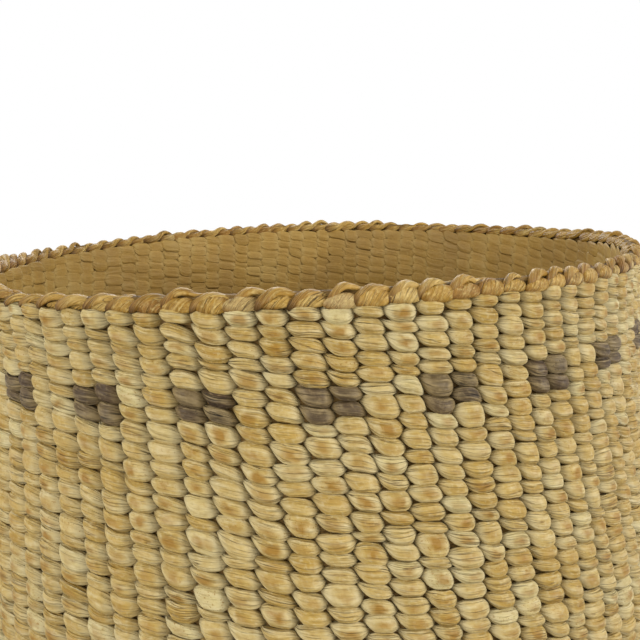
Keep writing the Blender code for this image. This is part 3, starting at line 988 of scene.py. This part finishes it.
belly_edges = row_edges(BELLY_PATH, HEEL_PATH, BELLY_ROWS, WARPS)
belly_edges[0] = wall_edges[-1]
heel_edges = row_edges(HEEL_PATH, BASE_PATH, HEEL_ROWS, WARPS)
heel_edges[0] = belly_edges[-1]
belongs(stitches("belly_stitches", belly_edges, straw, PLAIN), "straw_weft", "belly_outer_weft")
belongs(stitches("heel_stitches", heel_edges, straw, PLAIN), "straw_weft", "heel_outer_weft")

# %% [markdown]
# ## The base
#
# On the base the columns run together towards the centre. A weaver starts with few warps and adds
# one beside each as soon as there is room, so the stitches stay near the same width. Keeping all 92
# columns to the centre would be simpler, but would squeeze them to slivers. So the base is in three
# rings: one stitch to each warp outside, one to each pair further in, and one to each four at the
# start.

# %% Base
OUTER_BASE_ROWS = 5
MIDDLE_BASE_ROWS = 11
START_ROWS = 4
CENTRE_PATH = path_at_base(0.3)

outer_base = row_edges(BASE_PATH, FORK_PATH, OUTER_BASE_ROWS, WARPS)
outer_base[0] = heel_edges[-1]
belongs(stitches("base_stitches_outer", outer_base, straw, PLAIN), "straw_weft", "base_outer_weft")
middle_base = row_edges(FORK_PATH, START_PATH, MIDDLE_BASE_ROWS, WARPS // 2)
belongs(stitches("base_stitches_middle", middle_base, straw, PLAIN, per_column=2),
        "straw_weft", "base_outer_weft")
centre_base = row_edges(START_PATH, CENTRE_PATH, START_ROWS, WARPS // 4, jitter=0.05)
belongs(stitches("start_stitches", centre_base, straw, PLAIN, per_column=4),
        "straw_weft", "start_outer_weft")

# %% [markdown]
# ## The inside
#
# The inner face has its own stitches, the other halves of the same twists. A mirror copy of the
# outside would be simpler, but it would lean the wrong way, because a twist leans alike from
# whichever side it is seen. The inside is also worn smooth by use. So its stitches are worked out
# anew: flatter, fuller and browner.

# %% Inner face
INNER_SPLIT_PATH = 35.0


def inner_band(name, top, bottom, rows, columns, node, per_column=1):
    """A band of inner stitches with even ends. The first band reaches up to the binding."""
    edges = row_edges(top, bottom, rows, columns, jitter=0.09)
    edges[0], edges[-1] = top, bottom
    if top == 0.0:
        edges -= rim_lift(np.arange(columns) + 0.5) * (1 - np.arange(rows + 1) / rows)[:, None]
    belongs(stitches(name, edges, inner_leaf, HIDDEN, per_column, face="inner", dive=0.5, swell=0.18,
                     press=1.14, fullness=1.75), "inner_weft", node)


inner_band("inner_wall_stitches_high", 0.0, INNER_SPLIT_PATH, 13, WARPS, "wall_inner_weft")
inner_band("inner_wall_stitches_low", INNER_SPLIT_PATH, BELLY_PATH, 12, WARPS, "wall_inner_weft")
inner_band("inner_belly_stitches", BELLY_PATH, HEEL_PATH, BELLY_ROWS, WARPS, "belly_inner_weft")
inner_band("inner_heel_stitches", HEEL_PATH, BASE_PATH, HEEL_ROWS, WARPS, "heel_inner_weft")
inner_band("inner_base_stitches_outer", BASE_PATH, FORK_PATH, OUTER_BASE_ROWS, WARPS, "base_inner_weft")
inner_band("inner_base_stitches_middle", FORK_PATH, START_PATH, MIDDLE_BASE_ROWS, WARPS // 2,
           "base_inner_weft", per_column=2)
inner_band("inner_start_stitches", START_PATH, CENTRE_PATH, START_ROWS, WARPS // 4,
           "base_inner_weft", per_column=4)

# %% [markdown]
# ## The warps and the crossings
#
# Between the two faces stand the warps, and between the warps the two strands cross from one face to
# the other. Little of this shows, only dark glimpses in the corners where stitches meet. Every
# crossing could be a twist of its own, but none would be seen. So the warps are round stems, and the
# crossings are one ridged layer behind the stitches that closes the wall.

# %% Warp stems
STEM_HALF_WIDTH = 0.19
STEM_HALF_DEPTH = 0.75
STEM_STEPS = 60
STEM_SIDES = 8
STEM_TOP_PATH = 0.2
THINNEST_STEM = 0.18

stem_path = np.linspace(STEM_TOP_PATH, START_PATH, STEM_STEPS)[None, :, None]
stem_turn = (np.arange(STEM_SIDES) / STEM_SIDES * 2 * math.pi)[None, None, :]
stem_warp = np.arange(WARPS)[:, None, None] + 0.5
narrow = np.clip(np.interp(stem_path, profile_path, profile_radius) / RIM_RADIUS, THINNEST_STEM, 1.0)
stem_depth = WALL_THICKNESS / 2 + STEM_HALF_DEPTH * np.sin(stem_turn) * np.sqrt(narrow)
stem_places = on_bowl(stem_warp + STEM_HALF_WIDTH * np.cos(stem_turn), stem_path, stem_depth)

stem_corners, stem_count, rings, sides = bundle_faces(WARPS, STEM_STEPS, STEM_SIDES, False)
around_share = np.tile(sides / STEM_SIDES, WARPS)
stem_number = np.repeat(np.arange(WARPS), len(rings))
stem_lay = np.stack([np.tile(rings * 0.5, WARPS), around_share], axis=-1)
stem_atlas = np.stack([np.tile(rings / (STEM_STEPS - 1), WARPS),
                       (stem_number + 0.05 + 0.9 * around_share) / WARPS], axis=-1)
belongs(mesh_object("warp_stems", stem_places.reshape(-1, 3), stem_corners, stem_count, stem_lay,
                    stem_atlas, stem), "warp_stem", "warps")
print("warp stems:", WARPS)

# %% The sheet of crossings
# The layer has an outer and an inner sheet. Each pair is one sheet's depth in mm at the rim, where
# the wall is closed off thin, and its depth from 2 mm below.
CROSSING_DEPTHS = ((1.9, 1.9), (2.9, 3.7))
CROSSING_FULL_PATH = 2.0
CROSSING_RIDGE = 0.15
SHELL_TOP = 2.35
SHELL_TOP_TIGHT = 0.5
WALL_CROSSINGS = 90
START_CROSSINGS = 8

cross_warp = np.arange(2 * WARPS)[None, :] / 2
down_path = np.concatenate([np.linspace(0.0, START_PATH, WALL_CROSSINGS),
                            np.linspace(START_PATH, path_at_base(0.1), START_CROSSINGS)[1:]])
shell_top = (SHELL_TOP - SHELL_TOP_TIGHT * rim_tight(cross_warp)) * rim_snug(cross_warp)
cross_path = np.concatenate([-rim_lift(cross_warp) - shell_top, np.tile(down_path[:, None], 2 * WARPS)])
ridge = CROSSING_RIDGE * np.cos(2 * math.pi * cross_warp)
sheets = []
for depths, order in zip(CROSSING_DEPTHS, (1, -1)):
    depth = np.interp(cross_path, (0.0, CROSSING_FULL_PATH), depths)
    sheets.append(on_bowl(cross_warp, cross_path, depth + ridge)[::order])
shell = np.concatenate(sheets)
print("crossing layer, rows and columns:", shell.shape[:2])

# %% Mesh of the crossings
shell_rows, shell_sides = shell.shape[:2]
ring, side = np.meshgrid(np.arange(shell_rows), np.arange(shell_sides), indexing="ij")
ring_corner = np.stack([ring + 1, ring + 1, ring, ring], axis=-1).reshape(-1)
side_corner = np.stack([side, side + 1, side + 1, side], axis=-1).reshape(-1)
shell_corners = (ring_corner % shell_rows) * shell_sides + side_corner % shell_sides
shell_lay = np.stack([side_corner * 0.5, ring_corner * 0.35], axis=-1)
shell_atlas = np.stack([side_corner / shell_sides, ring_corner / shell_rows], axis=-1)
belongs(mesh_object("weft_crossings", shell.reshape(-1, 3), shell_corners,
                    np.full(shell_rows * shell_sides, 4), shell_lay, shell_atlas, stem), "straw_weft")

# %% [markdown]
# ## The rim
#
# The rim is bound off with two strands, and both rise once over every warp. The outer strand shows as
# a plump front lobe, nearly as wide as a column, with its fibres turned steeply upwards. The inner
# strand comes up at the left of that lobe, goes over it as a narrow arc, and runs down the back. In
# the tight stretch at the left the outer lobes shrink and sink, and the arcs stand alone. Two long
# twisted tubes could stand for the strands, but their lobes would all be alike. So each lobe is laid
# along a smooth line of its own. The lobes sit a third of a column to the right of the warps. They
# are handled more than any other part, so they are browner than the wall.

# %% The two kinds of lobe
# Each row is a station along one lobe: columns from its middle, mm in from the outer face, mm up from
# the top row, and half its width and half its thickness in mm.
FRONT_LOBE = (
    (-0.60, 1.35, 0.30, 0.25, 0.25),
    (-0.53, 1.10, 0.48, 0.80, 0.65),
    (-0.36, 1.00, 0.72, 1.20, 0.90),
    (-0.08, 1.08, 0.98, 1.45, 0.98),
    (0.20, 1.25, 0.98, 1.38, 0.95),
    (0.44, 1.70, 0.70, 1.02, 0.78),
    (0.62, 2.40, 0.40, 0.50, 0.45),
)
BACK_LOBE = (
    (-0.68, 1.20, 0.00, 0.40, 0.35),
    (-0.56, 1.00, 0.85, 0.70, 0.50),
    (-0.36, 1.32, 1.85, 0.88, 0.62),
    (-0.05, 1.90, 2.66, 1.00, 0.72),
    (0.25, 2.45, 2.42, 1.05, 0.72),
    (0.50, 3.00, 1.60, 1.15, 0.70),
    (0.78, 3.55, 1.20, 1.25, 0.70),
    (1.10, 3.70, 1.00, 1.25, 0.70),
    (1.40, 3.50, 0.80, 0.90, 0.60),
    (1.60, 3.10, 0.60, 0.35, 0.35),
)
LOBE_STEPS = 22
LOBE_SIDES = 20


def smooth_line(stations, count):
    """A smooth line through every station."""
    rows = np.array(stations)
    rows = np.concatenate([[2 * rows[0] - rows[1]], rows, [2 * rows[-1] - rows[-2]]])
    share = np.linspace(0, len(stations) - 1, count)
    first = np.minimum(share.astype(int), len(stations) - 2)
    t = (share - first)[:, None]
    before, start, end, after = (rows[first + i] for i in range(4))
    return start + 0.5 * ((end - before) * t + (2 * before - 5 * start + 4 * end - after) * t**2
                          + (3 * start - before - 3 * end + after) * t**3)


print("highest point of the arcs, mm:", round(float(smooth_line(BACK_LOBE, LOBE_STEPS)[:, 2].max()), 2))

# %% Directions and fibres of a lobe
RIM_PITCH = 2 * math.pi * RIM_RADIUS / WARPS
CORD_MIDDLE = (2.3, 0.5)


def lobe_directions(spots, lift, snug):
    """At each station, the direction away from the middle of the binding and the one across the lobe.
    spots are mm along, in and up."""
    tangent = np.gradient(spots, axis=1)
    tangent /= np.linalg.norm(tangent, axis=-1, keepdims=True)
    inward = spots[..., 1] - CORD_MIDDLE[0]
    upward = spots[..., 2] - lift - snug * CORD_MIDDLE[1]
    facing = np.stack([np.zeros_like(inward), inward, upward], axis=-1)
    facing -= tangent * (facing * tangent).sum(-1, keepdims=True)
    facing /= np.linalg.norm(facing, axis=-1, keepdims=True)
    return facing, np.cross(tangent, facing)


def fibre_places(line, across, slant):
    """Mm along and across the fibres for each vertex of a lobe, whose fibres are turned by slant."""
    steps = np.linalg.norm(np.diff(line[:, :3] * (RIM_PITCH, 1, 1), axis=0), axis=1)
    run = np.concatenate([[0.0], np.cumsum(steps)])
    run = (run - run[-1] / 2)[:, None]
    over = -line[:, 3:4] * across
    return run * math.cos(slant) + over * math.sin(slant), run * math.sin(slant) - over * math.cos(slant)


print("pitch of the lobes, mm:", round(RIM_PITCH, 2))

# %% Places of the lobes
LOBE_AHEAD = 0.30
# How much lobes differ in size, reach and folds, as shares, in place round the rim, in columns, and in
# height, in mm.
LOBE_SIZE_SPREAD, REACH_SPREAD, FOLD_SPREAD = 0.12, 0.07, 0.4
PLACE_SPREAD = 0.07
HEIGHT_SPREAD = 0.08


def lobe_places(line, across, bulge, fibre_run, fibre_side, spreads, tight_changes):
    """Places of every vertex of one strand, with its own size, reach, rise, depth and folds for each
    lobe."""
    warp = np.arange(WARPS)[:, None] + 0.5
    lift, snug = rim_lift(warp), rim_snug(warp)
    rise_spread, inward_spread = spreads
    thicker, higher, deeper, longer = (change * rim_tight(warp) for change in tight_changes)

    def each(spread):
        return np.clip(chance.normal(0, spread, WARPS), -2 * spread, 2 * spread)[:, None]

    size = snug * (1 + thicker) * (1 + each(LOBE_SIZE_SPREAD))
    reach = line[:, 0] * (1 + each(REACH_SPREAD)) * np.where(line[:, 0] > 0, 1 + longer, 1)
    along = (warp + LOBE_AHEAD + each(PLACE_SPREAD) + reach) * RIM_PITCH
    inward = line[:, 1] + each(inward_spread) + deeper
    up = lift + snug * (1 + higher) * line[:, 2] * (1 + each(rise_spread)) + each(HEIGHT_SPREAD)
    spots = np.stack([along, inward, up], axis=-1)
    facing, sideways = lobe_directions(spots, lift, snug)

    phase = chance.uniform(0, 2 * math.pi, (2, WARPS, 1, 1))
    folds = 0.040 * np.cos(3.7 * fibre_side + 0.5 * fibre_run + phase[0])
    folds = folds + 0.028 * np.cos(7.3 * fibre_side + phase[1])
    folds = 1 + folds * (1 + each(FOLD_SPREAD))[:, :, None]
    half_width, half_thick = (size * line[:, 3])[..., None, None], (size * line[:, 4])[..., None, None]
    section = half_width * (folds * across)[..., None] * sideways[:, :, None, :]
    section = section + half_thick * (folds * bulge)[..., None] * facing[:, :, None, :]
    spots = spots[:, :, None, :] + section
    return on_bowl(spots[..., 0] / RIM_PITCH, -spots[..., 2], spots[..., 1])


# %% Rim strands
PATCH_ROUND = 5.6


def rim_lobes(name, node, stations, slant, patch_length, spreads, tight_changes, lay_row):
    """One lobe to each warp. slant turns the fibres against the line of the lobe. spreads are how much
    the rise and the depth vary. tight_changes are what the tight stretch does to the lobe's thickness,
    rise, depth and the length of its right half. lay_row keeps the strands apart on the lay map."""
    line = smooth_line(stations, LOBE_STEPS)
    across, bulge = superellipse(np.arange(LOBE_SIDES) / LOBE_SIDES * 2 * math.pi, 2.0)
    fibre_run, fibre_side = fibre_places(line, across, slant)
    places = lobe_places(line, across, bulge, fibre_run, fibre_side, spreads, tight_changes)

    corners, corner_count, rings, sides = bundle_faces(WARPS, LOBE_STEPS, LOBE_SIDES, True)
    here = rings, sides % LOBE_SIDES
    lay = np.stack([2 * np.arange(WARPS)[:, None] + (0.5 + fibre_run[here] / patch_length),
                    np.tile(lay_row + (1.0 + fibre_side[here] / PATCH_ROUND), (WARPS, 1))], axis=-1)
    atlas = patches(WARPS, rings / (LOBE_STEPS - 1), sides / LOBE_SIDES)
    belongs(mesh_object(name, places.reshape(-1, 3), corners, corner_count, lay.reshape(-1, 2), atlas,
                        rim_leaf), "rim_strand", node)
    print(name, "lobes:", WARPS)


rim_lobes("rim_strand_outer", "rim_outer_strand", FRONT_LOBE, slant=math.radians(50), patch_length=5.6,
          spreads=(0.10, 0.12), tight_changes=(-0.62, -0.60, 0.6, 0.0), lay_row=0)
rim_lobes("rim_strand_inner", "rim_inner_strand", BACK_LOBE, slant=math.radians(6), patch_length=14.0,
          spreads=(0.12, 0.25), tight_changes=(0.10, -0.36, -0.5, -0.35), lay_row=2)
